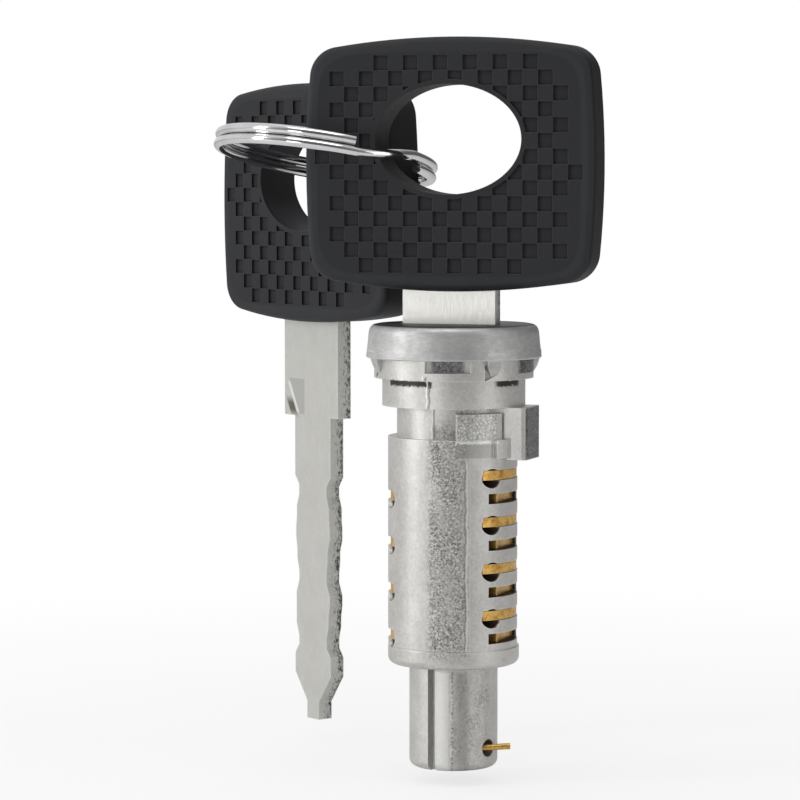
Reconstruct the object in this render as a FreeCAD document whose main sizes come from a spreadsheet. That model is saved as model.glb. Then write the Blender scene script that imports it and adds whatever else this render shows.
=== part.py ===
"""Car door lock cylinder with its two keys on a split ring.

Millimetres, +Z up along the lock's axis, +X along the width of the keyway. The origin is on the axis
at the lower end of the barrel: the tail hangs below it and the head and the keys stand above it.
"""
import FreeCAD, Part
import math
import os

import Sketcher

SIZES = {
    # die-cast cylinder body
    "barrel_radius": 8.5,
    "barrel_length": 29.5,
    "barrel_edge": 0.9,
    "neck_radius": 7.35,
    "neck_length": 4.0,
    "ring_radius": 9.25,
    "ring_length": 3.6,
    "collar_radius": 10.3,
    "collar_length": 4.1,
    "head_radius": 10.1,
    "head_length": 2.2,
    "tail_radius": 5.73,
    "tail_length": 13.5,
    "tail_edge": 1.0,
    "arm_reach": 10.7,
    "arm_half_width": 3.25,
    "arm_bottom": 26.8,
    "arm_corner": 0.7,
    "step_radius": 9.3,
    "step_height": 2.4,
    "pad_height": 3.3,
    "collar_pocket_depth": 0.8,
    "collar_pocket_width": 5.8,
    "collar_pocket_height": 2.0,
    "notch_count": 5,
    "notch_width": 2.2,
    "panel_depth": 0.25,
    "groove_width": 1.0,
    "groove_depth": 1.4,
    "nose_line_height": 2.3,
    "nose_line_width": 0.25,
    # pressed cap over the face
    "cap_wall": 0.6,
    "cap_lip": 0.35,
    "cap_lip_height": 0.6,
    "cap_edge": 1.1,
    "cap_slot_margin": 0.25,
    # keyway and key blade
    "blade_thickness": 2.2,
    "blade_half_width": 4.15,
    "blade_waist_half_width": 3.95,
    "shank_width": 12.5,
    "shank_length": 13.1,
    "shank_offset": 0.35,
    "blade_tip_reach": 10.7,
    "keyway_clearance": 0.12,
    "tip_half_width": 1.35,
    "tip_taper_length": 3.8,
    "tip_end_length": 2.4,
    # wafers and their springs
    "wafer_count": 8,
    "wafer_top_margin": 4.6,
    "wafer_foot_margin": 3.9,
    "wafer_thickness": 1.2,
    "wafer_half_width": 3.5,
    "wafer_clearance": 0.06,
    "wafer_travel": 0.8,
    "wafer_seat": 6.9,
    "wafer_flush": 0.1,
    "lug_width": 2.3,
    "lug_depth": 2.2,
    "pocket_radius": 1.25,
    "pocket_offset": 4.75,
    "pocket_drop": 0.4,
    "pocket_floor": 1.3,
    "spring_radius": 0.8,
    "spring_wire_radius": 0.15,
    "spring_turns": 4.5,
    # wire clip at the foot of the tail
    "clip_height": 2.8,
    "clip_hole_radius": 1.15,
    "clip_wire_radius": 0.4,
    "clip_reach": 8.0,
    # moulded key bow
    "bow_width": 39.0,
    "bow_height": 32.6,
    "bow_thickness": 5.8,
    "bow_side_bulge": 0.9,
    "bow_end_bulge": 1.7,
    "bow_corner": 4.0,
    "bow_edge": 1.0,
    "bow_gap": 4.2,
    "hole_half_width": 9.85,
    "hole_half_height": 7.05,
    "hole_rise": 3.2,
    "grip_cell": 2.0,
    "grip_depth": 0.3,
    "grip_border": 1.5,
    "grip_hole_margin": 0.6,
    # split ring
    "loop_radius": 14.2,
    "loop_wire_radius": 0.66,
    "loop_turn_gap": 0.06,
    "loop_turns": 1.88,
    "loop_step_angle": 40.0,
    "loop_x": -19.4,
    "loop_y": 5.2,
    "loop_rise": 17.4,
    "loop_start_angle": -12.7,
    # second key, hanging from the ring
    "spare_x": -26.1,
    "spare_y": 20.9,
    "spare_drop": 5.2,
    "spare_turn_angle": -34.5,
}

# how far each cut goes in from the blade's waist, from the bow to the tip
RIGHT_CUTS = (0.75, 0.15, 0.0, 0.5, 0.75, 0.0, 0.3, 0.75)
LEFT_CUTS = (0.75, 0.2, 0.0, 0.3, 0.75, 0.1, 0.1, 0.7)
CUT_FLAT = 0.65  # half of each cut's flat floor

# angles about the axis, measured from +X, in degrees
PAD_ANGLES = (-70.0, -26.0)
STEP_ANGLES = (-36.0, 0.0)
PANEL_ANGLES = (-58.0, 70.0)
COLLAR_POCKET_ANGLE = -77.0
NOTCH_FIRST_ANGLE = -50.0
GROOVE_ANGLE = -102.5
CLIP_ANGLE = -20.5
CLIP_END_ANGLE = -6.0

RING_STEP_POINTS = 6
RING_LEAN = (0.107, 0.183, 1.0)  # direction of the split ring's axis
GRIP_WALL = 0.06  # what is left between two sunk squares that meet at a corner
SPRING_SIDES = 8

doc = FreeCAD.newDocument("door_lock_cylinder")
sheet = doc.addObject("Spreadsheet::Sheet", "sizes")
for row, (alias, size) in enumerate(SIZES.items(), start=1):
    sheet.set(f"A{row}", alias)
    sheet.set(f"B{row}", str(size))
    sheet.setAlias(f"B{row}", alias)
doc.recompute()


class Value:
    """The sheet's numbers as attributes, for the shapes that are worked out in code."""

    def __getattr__(self, alias):
        return float(sheet.get(alias))


mm = Value()
XYZ = FreeCAD.Vector
UP = XYZ(0, 0, 1)
made = []


def bound(formula):
    """A formula of aliases as an expression on the sheet."""
    words = formula.replace("(", " ( ").replace(")", " ) ").split()
    return " ".join("sizes." + word if word[0].isalpha() else word for word in words)


def bind(thing, **formulas):
    """Ties properties of a document object to the sheet."""
    for prop, formula in formulas.items():
        path = "Placement.Base." + prop if prop in ("x", "y", "z") else prop
        thing.setExpression(path, bound(formula))
    return thing


def box(name, length, width, height, x="0", y="0", z="0"):
    """A box whose sizes and low corner follow the sheet."""
    thing = doc.addObject("Part::Box", name)
    return bind(thing, Length=length, Width=width, Height=height, x=x, y=y, z=z)


def rod(name, radius, height, z="0"):
    """An upright cylinder on the axis."""
    thing = doc.addObject("Part::Cylinder", name)
    return bind(thing, Radius=radius, Height=height, z=z)


def sector(name, radius, height, z, angles):
    """A wedge of a cylinder about the axis between two angles."""
    thing = rod(name, radius, height, z)
    thing.Angle = angles[1] - angles[0]
    thing.Placement.Rotation = FreeCAD.Rotation(UP, angles[0])
    return thing


def turned_about_axis(thing, angle):
    """Turns a placed object about the lock's axis, with its place still tied to the sheet."""
    paths = dict(thing.ExpressionEngine)
    x = paths.get("Placement.Base.x", paths.get(".Placement.Base.x", "0"))
    y = paths.get("Placement.Base.y", paths.get(".Placement.Base.y", "0"))
    cos = math.cos(math.radians(angle))
    sin = math.sin(math.radians(angle))
    thing.Placement.Rotation = FreeCAD.Rotation(UP, angle) * thing.Placement.Rotation
    thing.setExpression("Placement.Base.x", f"({x}) * {cos:.9f} - ({y}) * {sin:.9f}")
    thing.setExpression("Placement.Base.y", f"({x}) * {sin:.9f} + ({y}) * {cos:.9f}")
    return thing


def cut(name, base, tools):
    """The base less the tools."""
    tool = tools[0]
    if len(tools) > 1:
        tool = doc.addObject("Part::MultiFuse", name + "_tools")
        tool.Shapes = tools
    thing = doc.addObject("Part::Cut", name)
    thing.Base = base
    thing.Tool = tool
    return thing


def fuse(name, pieces):
    """The pieces joined into one solid."""
    thing = doc.addObject("Part::MultiFuse", name)
    thing.Shapes = pieces
    thing.Refine = True
    return thing


def common(name, base, tool):
    """What two objects share."""
    thing = doc.addObject("Part::Common", name)
    thing.Base = base
    thing.Tool = tool
    return thing


def shaped(name, shape, placement=None):
    """A document object that holds a shape worked out in code."""
    thing = doc.addObject("Part::Feature", name)
    thing.Shape = shape
    if placement:
        thing.Placement = placement
    return thing


def keep(thing, label):
    """Marks a finished sub-part, whose label names its file."""
    thing.Label = label
    made.append(thing)
    return thing


def origin_plane(body, role):
    """One of a body's own origin planes."""
    return next(f for f in body.Origin.OriginFeatures if f.Role == role)


def new_sketch(body, name, role):
    """A sketch on one of the body's origin planes."""
    sketch = body.newObject("Sketcher::SketchObject", name)
    sketch.AttachmentSupport = [(origin_plane(body, role), "")]
    sketch.MapMode = "FlatFace"
    return sketch


def stepped_profile(sketch, below, above):
    """A stepped half profile: steps of (radius, length) below the origin and above it."""
    steps = [(radius, length, -1) for radius, length in reversed(below)]
    steps += [(radius, length, 1) for radius, length in above]
    height = -sum(getattr(mm, length) for _, length in below)
    corners = [(0.0, height)]
    for radius, length, _ in steps:
        corners.append((getattr(mm, radius), height))
        height += getattr(mm, length)
        corners.append((getattr(mm, radius), height))
    corners.append((0.0, height))
    points = [XYZ(x, y, 0) for x, y in corners]
    for start, end in zip(points, points[1:] + points[:1]):
        sketch.addGeometry(Part.LineSegment(start, end), False)
    last = len(points) - 1
    for line in range(last):
        sketch.addConstraint(Sketcher.Constraint("Coincident", line, 2, line + 1, 1))
        sketch.addConstraint(Sketcher.Constraint("Vertical" if line % 2 else "Horizontal", line))
    sketch.addConstraint(Sketcher.Constraint("Coincident", last, 2, 0, 1))
    sketch.addConstraint(Sketcher.Constraint("PointOnObject", 0, 1, -2))
    sketch.addConstraint(Sketcher.Constraint("PointOnObject", last, 1, -2))
    sketch.addConstraint(Sketcher.Constraint("PointOnObject", 2 * len(below), 2, -1))
    for step, (radius, length, _) in enumerate(steps):
        line = 2 * step + 1
        number = sketch.addConstraint(
            Sketcher.Constraint("DistanceX", -1, 1, line, 1, getattr(mm, radius))
        )
        sketch.setExpression(f"Constraints[{number}]", bound(radius))
        number = sketch.addConstraint(
            Sketcher.Constraint("DistanceY", line, 1, line, 2, getattr(mm, length))
        )
        sketch.setExpression(f"Constraints[{number}]", bound(length))


def edges_at(shape, height, radius):
    """Names of the round edges of a shape at a height and radius."""
    names = []
    for number, edge in enumerate(shape.Edges, start=1):
        curve = edge.Curve
        if isinstance(curve, Part.Circle) and math.isclose(curve.Radius, radius, abs_tol=1e-4):
            if math.isclose(curve.Center.z, height, abs_tol=1e-4):
                names.append(f"Edge{number}")
    return names


def turned_core():
    """The turned form of the casting: tail, barrel, neck, ring, collar and head."""
    body = doc.addObject("PartDesign::Body", "turned_core")
    sketch = new_sketch(body, "core_profile", "XZ_Plane")
    below = [("tail_radius", "tail_length")]
    above = [
        ("barrel_radius", "barrel_length"),
        ("neck_radius", "neck_length"),
        ("ring_radius", "ring_length"),
        ("collar_radius", "collar_length"),
        ("head_radius", "head_length"),
    ]
    stepped_profile(sketch, below, above)
    turn = body.newObject("PartDesign::Revolution", "core_turned")
    turn.Profile = sketch
    turn.ReferenceAxis = (sketch, ["V_Axis"])
    turn.Angle = 360
    doc.recompute()
    for name, height, radius, size in (
        ("barrel_nose", 0.0, mm.barrel_radius, "barrel_edge"),
        ("tail_end", -mm.tail_length, mm.tail_radius, "tail_edge"),
    ):
        before = body.Tip
        rounded = body.newObject("PartDesign::Fillet", name)
        rounded.Base = (before, edges_at(before.Shape, height, radius))
        bind(rounded, Radius=size)
        body.Tip = rounded
        doc.recompute()
    return body


def neck_top():
    """Formula of the height where the neck meets the ring."""
    return "barrel_length + neck_length"


def head_top():
    """Formula of the height of the casting's face."""
    return "barrel_length + neck_length + ring_length + collar_length + head_length"


def bow_foot():
    """Formula of the height of the bow's foot with the key home."""
    return head_top() + " + cap_wall + bow_gap"


def key_heights():
    """Heights of the key's bow foot and shank foot with the key home."""
    face = mm.barrel_length + mm.neck_length + mm.ring_length + mm.collar_length + mm.head_length
    foot = face + mm.cap_wall + mm.bow_gap
    return foot, foot - mm.shank_length


def wafer_height(index):
    """Formula of the mid height of a wafer, counted from the top."""
    span = "( barrel_length - wafer_top_margin - wafer_foot_margin )"
    return f"( barrel_length - wafer_top_margin - {index} * {span} / ( wafer_count - 1 ) )"


def wafer_middle(index):
    """Mid height of a wafer, counted from the top."""
    span = mm.barrel_length - mm.wafer_top_margin - mm.wafer_foot_margin
    return mm.barrel_length - mm.wafer_top_margin - index * span / (mm.wafer_count - 1)


def side(index):
    """+1 where the spring pushes a wafer towards +X, -1 where it pushes it towards -X."""
    return 1 if index % 2 == 0 else -1


def keyway():
    """The slot that the blade slides in, wide for the shank and narrow for the blade."""
    wide = box(
        "shank_slot",
        "shank_width + 2 * keyway_clearance",
        "blade_thickness + 2 * keyway_clearance",
        head_top(),
        x="shank_offset * -1 - shank_width / 2 - keyway_clearance",
        y="( blade_thickness / 2 + keyway_clearance ) * -1",
        z=bow_foot() + " - shank_length - keyway_clearance",
    )
    narrow = box(
        "blade_slot",
        "2 * blade_half_width + 2 * keyway_clearance",
        "blade_thickness + 2 * keyway_clearance",
        head_top() + " + tail_length",
        x="( blade_half_width + keyway_clearance ) * -1",
        y="( blade_thickness / 2 + keyway_clearance ) * -1",
        z="wafer_foot_margin - blade_tip_reach - 4 * keyway_clearance",
    )
    return [wide, narrow]


def wafer_slot(index):
    """The slot of one wafer with the round pocket of its spring."""
    height = wafer_height(index)
    way = side(index)
    reach = "2 * barrel_radius" if way < 0 else "barrel_radius + wafer_seat + wafer_clearance"
    start = "barrel_radius * -1" if way < 0 else "( wafer_seat + wafer_clearance ) * -1"
    slot = box(
        f"slot_{index + 1}",
        reach,
        "2 * wafer_half_width + 2 * wafer_clearance",
        "wafer_thickness + 2 * wafer_clearance",
        x=start,
        y="( wafer_half_width + wafer_clearance ) * -1",
        z=f"{height} - wafer_thickness / 2 - wafer_clearance",
    )
    lug_room = box(
        f"lug_slot_{index + 1}",
        "barrel_radius - pocket_floor",
        "lug_width + wafer_clearance",
        "wafer_thickness + 2 * wafer_clearance",
        x="pocket_floor" if way > 0 else "barrel_radius * -1",
        y="( wafer_half_width + lug_width + wafer_clearance ) * -1",
        z=f"{height} - wafer_thickness / 2 - wafer_clearance",
    )
    pocket = doc.addObject("Part::Cylinder", f"pocket_{index + 1}")
    pocket.Placement.Rotation = FreeCAD.Rotation(XYZ(0, 1, 0), 90 * way)
    bind(
        pocket,
        Radius="pocket_radius",
        Height="barrel_radius - pocket_floor",
        x="pocket_floor" if way > 0 else "pocket_floor * -1",
        y="pocket_offset * -1",
        z=f"{height} - pocket_drop",
    )
    pieces = [slot, lug_room, pocket]
    if way < 0:
        pieces.append(
            box(
                f"spring_notch_{index + 1}",
                "barrel_radius",
                "wafer_half_width / 2",
                "wafer_thickness + 2 * wafer_clearance",
                x="barrel_radius / 2",
                y="wafer_half_width * -1.5",
                z=f"{height} - wafer_thickness / 2 - wafer_clearance",
            )
        )
    return pieces


def collar_details():
    """Pockets and crimp notches cut in the collar, under the cap's skirt."""
    base = neck_top() + " + ring_length"
    pocket = box(
        "collar_pocket",
        "2 * collar_pocket_depth",
        "collar_pocket_width",
        "collar_pocket_height",
        x="collar_radius - collar_pocket_depth",
        y="collar_pocket_width / -2",
        z=base + " + collar_length / 4",
    )
    cuts = [turned_about_axis(pocket, COLLAR_POCKET_ANGLE)]
    count = int(mm.notch_count)
    for number in range(count):
        notch = doc.addObject("Part::Wedge", f"crimp_notch_{number + 1}")
        bind(
            notch,
            Xmax="2 * cap_wall",
            Ymax="notch_width",
            Zmax="collar_length / 2",
            X2min="cap_wall",
            X2max="2 * cap_wall",
            Z2min="collar_length / 4",
            Z2max="collar_length / 2",
            x="collar_radius - cap_wall",
            z=base + " + 0",
        )
        cuts.append(turned_about_axis(notch, NOTCH_FIRST_ANGLE + number * 360 / (count + 0.5)))
    return cuts


def arm():
    """The stop arm on the neck with its stepped root."""
    block = box(
        "arm_block",
        "arm_reach",
        "2 * arm_half_width",
        f"{neck_top()} - arm_bottom",
        y="arm_half_width * -1",
        z="arm_bottom",
    )
    rounded = doc.addObject("Part::Fillet", "arm_rounded")
    doc.recompute()
    rounded.Base = block
    ends = [
        number
        for number, edge in enumerate(block.Shape.Edges, start=1)
        if edge.BoundBox.XMin > mm.arm_reach - 0.01 and edge.BoundBox.ZLength > 1
    ]
    rounded.Edges = [(number, mm.arm_corner, mm.arm_corner) for number in ends]
    root = sector("arm_root", "step_radius", "step_height", "barrel_length - step_height", STEP_ANGLES)
    pad = sector("neck_pad", "barrel_radius", "pad_height", "barrel_length", PAD_ANGLES)
    return [rounded, root, pad]


def panel_cut():
    """The shallow flat band that the wafers' windows open in."""
    outer = sector(
        "panel_outer",
        "barrel_radius + panel_depth",
        "barrel_length - step_height - nose_line_height",
        "nose_line_height",
        PANEL_ANGLES,
    )
    inner = rod("panel_inner", "barrel_radius - panel_depth", "barrel_length")
    return cut("panel_band", outer, [inner])


def tail_cuts():
    """The drive groove along the tail, the clip's hole and the fine line round the nose."""
    groove = box(
        "tail_groove",
        "2 * groove_depth",
        "groove_width",
        "tail_length",
        x="tail_radius - groove_depth",
        y="groove_width / -2",
        z="tail_length * -1",
    )
    hole = doc.addObject("Part::Cylinder", "clip_hole")
    hole.Placement.Rotation = FreeCAD.Rotation(XYZ(0, 1, 0), 90)
    bind(
        hole,
        Radius="clip_hole_radius",
        Height="tail_radius",
        x="blade_half_width / 2",
        z="clip_height - tail_length",
    )
    line_outer = rod("nose_line_outer", "barrel_radius + panel_depth", "nose_line_width", "nose_line_height")
    line_inner = rod("nose_line_inner", "barrel_radius - panel_depth / 2", "barrel_length")
    line = cut("nose_line", line_outer, [line_inner])
    return [turned_about_axis(groove, GROOVE_ANGLE), turned_about_axis(hole, CLIP_ANGLE), line]


def cylinder_body():
    """The die-cast cylinder with its keyway, slots, pockets and arm."""
    whole = fuse("cylinder_solid", [turned_core()] + arm())
    cuts = keyway() + [panel_cut()] + tail_cuts() + collar_details()
    for index in range(int(mm.wafer_count)):
        cuts += wafer_slot(index)
    return keep(cut("cylinder_cut", whole, cuts), "cylinder_body")


def face_cap():
    """The pressed cap over the head with the key's slot."""
    body = doc.addObject("PartDesign::Body", "cap_pressing")
    sketch = new_sketch(body, "cap_profile", "XZ_Plane")
    low = mm.barrel_length + mm.neck_length + mm.ring_length + mm.collar_length
    top = low + mm.head_length + mm.cap_wall
    skirt = low - mm.collar_length / 4
    inside = mm.collar_radius + mm.keyway_clearance
    outside = inside + mm.cap_wall
    lip = outside + mm.cap_lip
    edge = mm.cap_edge
    points = [
        XYZ(0, top - mm.cap_wall, 0),
        XYZ(inside, top - mm.cap_wall, 0),
        XYZ(inside, skirt, 0),
        XYZ(lip, skirt, 0),
        XYZ(lip, skirt + mm.cap_lip_height / 2, 0),
        XYZ(outside, skirt + mm.cap_lip_height, 0),
        XYZ(outside, top - edge, 0),
    ]
    for start, end in zip(points, points[1:]):
        sketch.addGeometry(Part.LineSegment(start, end), False)
    shoulder = XYZ(outside - edge, top - edge, 0)
    sketch.addGeometry(
        Part.ArcOfCircle(Part.Circle(shoulder, XYZ(0, 0, 1), edge), 0, math.pi / 2), False
    )
    sketch.addGeometry(Part.LineSegment(XYZ(outside - edge, top, 0), XYZ(0, top, 0)), False)
    sketch.addGeometry(Part.LineSegment(XYZ(0, top, 0), points[0]), False)
    turn = body.newObject("PartDesign::Revolution", "cap_turned")
    turn.Profile = sketch
    turn.ReferenceAxis = (sketch, ["V_Axis"])
    turn.Angle = 360
    slot = box(
        "cap_slot",
        "shank_width + 2 * cap_slot_margin",
        "blade_thickness + 2 * cap_slot_margin",
        "4 * cap_wall",
        x="shank_offset * -1 - shank_width / 2 - cap_slot_margin",
        y="( blade_thickness / 2 + cap_slot_margin ) * -1",
        z=head_top() + " - cap_wall",
    )
    return keep(cut("cap_cut", body, [slot]), "face_cap")


def wafer(index):
    """One brass wafer: a plate with the blade's window and a lug that its spring pushes."""
    name = f"wafer_{index + 1}"
    height = wafer_height(index)
    way = side(index)
    plate = box(
        name + "_plate",
        "barrel_radius + wafer_seat",
        "2 * wafer_half_width",
        "wafer_thickness",
        x="wafer_seat * -1" if way > 0 else "barrel_radius * -1",
        y="wafer_half_width * -1",
        z=f"{height} - wafer_thickness / 2",
    )
    lug = box(
        name + "_lug",
        "barrel_radius - lug_depth * 2",
        "lug_width * 2",
        "wafer_thickness",
        x="lug_depth * 2" if way > 0 else "barrel_radius * -1",
        y="( wafer_half_width + lug_width ) * -1",
        z=f"{height} - wafer_thickness / 2",
    )
    outline = rod(
        name + "_outline",
        "barrel_radius - panel_depth - wafer_flush",
        "wafer_thickness",
        f"{height} - wafer_thickness / 2",
    )
    window = box(
        name + "_window",
        "2 * blade_half_width + 4 * keyway_clearance + wafer_travel * 0.7",
        "blade_thickness + 2 * keyway_clearance",
        "2 * wafer_thickness",
        x="blade_half_width * -1 - 2 * keyway_clearance" + (" - wafer_travel * 0.7" if way > 0 else ""),
        y="( blade_thickness / 2 + keyway_clearance ) * -1",
        z=f"{height} - wafer_thickness",
    )
    blank = common(name + "_blank", fuse(name + "_joined", [plate, lug]), outline)
    return keep(cut(name + "_cut", blank, [window]), name)


def coil(radius, wire, pitch, turns):
    """A small wire coil that starts on +X at height 0, drawn as short straight runs."""
    turn = 2 * math.pi / SPRING_SIDES
    points = [
        XYZ(radius * math.cos(turn * run), radius * math.sin(turn * run), pitch * run / SPRING_SIDES)
        for run in range(int(turns * SPRING_SIDES) + 1)
    ]
    circle = Part.Circle(points[0], points[1] - points[0], wire)
    section = Part.Wire([circle.toShape()])
    return Part.makePolygon(points).makePipeShell([section], True, False, 1)


def wafer_spring(index):
    """The small coil spring between a pocket's floor and its wafer's lug."""
    way = side(index)
    wire = mm.spring_wire_radius
    length = mm.lug_depth * 2 - mm.pocket_floor - 2 * wire - 4 * mm.wafer_clearance
    shape = coil(mm.spring_radius, wire, length / mm.spring_turns, mm.spring_turns)
    height = wafer_middle(index) - mm.pocket_drop
    start = way * (mm.pocket_floor + wire + 2 * mm.wafer_clearance)
    place = FreeCAD.Placement(
        XYZ(start, -mm.pocket_offset, height), FreeCAD.Rotation(XYZ(0, 1, 0), 90 * way)
    )
    name = f"wafer_spring_{index + 1}"
    return keep(shaped(name + "_coil", shape, place), name)


def tail_clip():
    """The bent brass wire that stands out of the hole in the tail."""
    wire = mm.clip_wire_radius
    height = mm.clip_height - mm.tail_length
    out = XYZ(math.cos(math.radians(CLIP_ANGLE)), math.sin(math.radians(CLIP_ANGLE)), 0)
    across = XYZ(-out.y, out.x, 0)
    end = XYZ(math.cos(math.radians(CLIP_END_ANGLE)), math.sin(math.radians(CLIP_END_ANGLE)), 0)
    aside = across * (wire - mm.clip_hole_radius + mm.wafer_clearance)
    start = out * (mm.blade_half_width / 2 + 2 * wire) + aside
    bend = out * (mm.tail_radius - 3 * wire) + aside
    tip = end * mm.clip_reach
    path = [XYZ(p.x, p.y, height + rise) for p, rise in ((start, 0), (bend, 0), (tip, wire / 2))]
    before = bend + (start - bend).normalize() * wire * 1.5
    after = bend + (tip - bend).normalize() * wire * 1.5
    middle = (before + after) / 4 + bend / 2
    before, middle, after = (XYZ(p.x, p.y, height) for p in (before, middle, after))
    edges = [
        Part.LineSegment(path[0], before).toShape(),
        Part.Arc(before, middle, after).toShape(),
        Part.LineSegment(after, path[2]).toShape(),
    ]
    section = Part.Wire([Part.Circle(path[0], out, wire).toShape()])
    shape = Part.Wire(edges).makePipeShell([section], True, True)
    return keep(shaped("clip_wire", shape), "tail_clip")


def cut_points(way, cuts, shank_foot):
    """The cut edge of the blade on one side, from the shank down to the last cut."""
    points = [XYZ(way * mm.blade_half_width, 0, shank_foot)]
    first = wafer_middle(0) + CUT_FLAT + 2 * mm.wafer_clearance + mm.wafer_thickness
    points.append(XYZ(way * mm.blade_half_width, 0, first))
    for index, depth in enumerate(cuts):
        middle = wafer_middle(index)
        reach = way * (mm.blade_waist_half_width - depth)
        points.append(XYZ(reach, 0, middle + CUT_FLAT))
        points.append(XYZ(reach, 0, middle - CUT_FLAT))
    return points


def blade_shape():
    """The flat key blade with its shank, the cuts on both edges and the narrowed tip."""
    foot, shank_foot = key_heights()
    left = -mm.shank_offset - mm.shank_width / 2
    right = left + mm.shank_width
    inside = foot + mm.bow_height / 4
    end = mm.wafer_foot_margin - mm.blade_tip_reach
    taper = end + mm.tip_end_length
    shoulder = taper + mm.tip_taper_length
    wide = wafer_middle(len(RIGHT_CUTS) - 1) - CUT_FLAT - mm.wafer_thickness
    tip = [
        XYZ(mm.blade_half_width, 0, wide),
        XYZ(mm.blade_half_width, 0, shoulder),
        XYZ(mm.tip_half_width, 0, taper),
        XYZ(mm.tip_half_width, 0, end),
        XYZ(-mm.tip_half_width, 0, end),
        XYZ(-mm.tip_half_width, 0, taper),
        XYZ(-mm.blade_half_width, 0, shoulder),
        XYZ(-mm.blade_half_width, 0, wide),
    ]
    outline = [XYZ(left, 0, inside), XYZ(right, 0, inside), XYZ(right, 0, shank_foot)]
    outline += cut_points(1, RIGHT_CUTS, shank_foot) + tip
    outline += list(reversed(cut_points(-1, LEFT_CUTS, shank_foot)))
    outline += [XYZ(left, 0, shank_foot)]
    back = XYZ(0, -mm.blade_thickness / 2, 0)
    outline = [point + back for point in outline]
    face = Part.Face(Part.makePolygon(outline + outline[:1]))
    return face.extrude(XYZ(0, mm.blade_thickness, 0))


def bow_outline(foot, back):
    """The bow's outline: four bowed sides, drawn as arcs between its corners."""
    half = mm.bow_width / 2 - mm.bow_side_bulge
    low = foot + mm.bow_end_bulge
    high = foot + mm.bow_height - mm.bow_end_bulge
    middle = (low + high) / 2
    corners = [XYZ(x, back, z) for x, z in ((-half, low), (half, low), (half, high), (-half, high))]
    crowns = [
        XYZ(0, back, foot),
        XYZ(half + mm.bow_side_bulge, back, middle),
        XYZ(0, back, foot + mm.bow_height),
        XYZ(-half - mm.bow_side_bulge, back, middle),
    ]
    arcs = [
        Part.Arc(start, crown, end).toShape()
        for start, crown, end in zip(corners, crowns, corners[1:] + corners[:1])
    ]
    return Part.Wire(arcs)


def oval_prism(centre, margin, depth):
    """An upright oval, the hole's shape grown by a margin, along Y."""
    oval = Part.Ellipse(centre, mm.hole_half_width + margin, mm.hole_half_height + margin)
    oval.Axis = XYZ(0, 1, 0)
    oval.XAxis = XYZ(1, 0, 0)
    return Part.Face(Part.Wire([oval.toShape()])).extrude(XYZ(0, depth, 0))


def grip_pits(foot):
    """The sunk squares of the grip on both faces, like one colour of a draughtboard."""
    cell = mm.grip_cell
    half = mm.bow_thickness / 2
    inner = Part.Face(bow_outline(foot, 0).makeOffset2D(-mm.grip_border))
    rows = int(mm.bow_height / cell / 2)
    columns = int(mm.bow_width / cell / 2)
    low = foot + mm.bow_height / 2
    size = cell - GRIP_WALL
    pits = []
    for row in range(-rows, rows):
        for column in range(-columns, columns):
            if (row + column) % 2 == 0:
                continue
            x = column * cell + GRIP_WALL / 2
            z = low + row * cell + GRIP_WALL / 2
            corners = [XYZ(x + i * size, 0, z + j * size) for i in (0, 1) for j in (0, 1)]
            if not all(inner.isInside(corner, 0.001, True) for corner in corners):
                continue
            for y in (-half - 1, half - mm.grip_depth):
                pits.append(Part.makeBox(size, 1 + mm.grip_depth, size, XYZ(x, y, z)))
    return pits


def bow_shape():
    """The moulded bow with its rounded corners, softened edges, oval hole and squared grip."""
    foot, _ = key_heights()
    half = mm.bow_thickness / 2
    solid = Part.Face(bow_outline(foot, -half)).extrude(XYZ(0, mm.bow_thickness, 0))
    corners = [e for e in solid.Edges if e.BoundBox.XLength < 0.01 and e.BoundBox.ZLength < 0.01]
    solid = solid.makeFillet(mm.bow_corner, corners)
    rims = [e for e in solid.Edges if e.BoundBox.YLength < 0.01]
    solid = solid.makeFillet(mm.bow_edge, rims)
    centre = XYZ(0, -half - 1, foot + mm.bow_height / 2 + mm.hole_rise)
    solid = solid.cut(oval_prism(centre, 0, mm.bow_thickness + 2))
    keep_out = oval_prism(centre, mm.grip_hole_margin, mm.bow_thickness + 2)
    pits = Part.makeCompound(grip_pits(foot)).cut(keep_out)
    return solid.cut(pits).cut(blade_shape())


def key(prefix, placement):
    """One key: its steel blade and the bow moulded over it."""
    keep(shaped(prefix + "_steel", blade_shape(), placement), prefix + "_blade")
    keep(shaped(prefix + "_moulding", bow_shape(), placement), prefix + "_bow")


def ring_path():
    """The split ring's centre line: two flat turns and the short step up between them."""
    turn = 360 * mm.loop_turns
    first = (turn - mm.loop_step_angle) / 2
    last = first + mm.loop_step_angle
    rise = 2 * mm.loop_wire_radius + mm.loop_turn_gap

    def at(angle, height):
        way = math.radians(angle)
        return XYZ(mm.loop_radius * math.cos(way), mm.loop_radius * math.sin(way), height)

    edges = []
    for start, end, height in ((0, first, -rise / 2), (last, turn, rise / 2)):
        middle = (start + end) / 2
        for low, high in ((start, middle), (middle, end)):
            points = (at(low, height), at((low + high) / 2, height), at(high, height))
            edges.append(Part.Arc(*points).toShape())
    shares = [number / RING_STEP_POINTS for number in range(RING_STEP_POINTS + 1)]
    step = Part.BSplineCurve()
    step.interpolate(
        [at(first + mm.loop_step_angle * t, rise * (3 * t**2 - 2 * t**3 - 0.5)) for t in shares],
        InitialTangent=at(first + 90, 0),
        FinalTangent=at(last + 90, 0),
    )
    return edges[:2] + [step.toShape()] + edges[2:]


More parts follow.
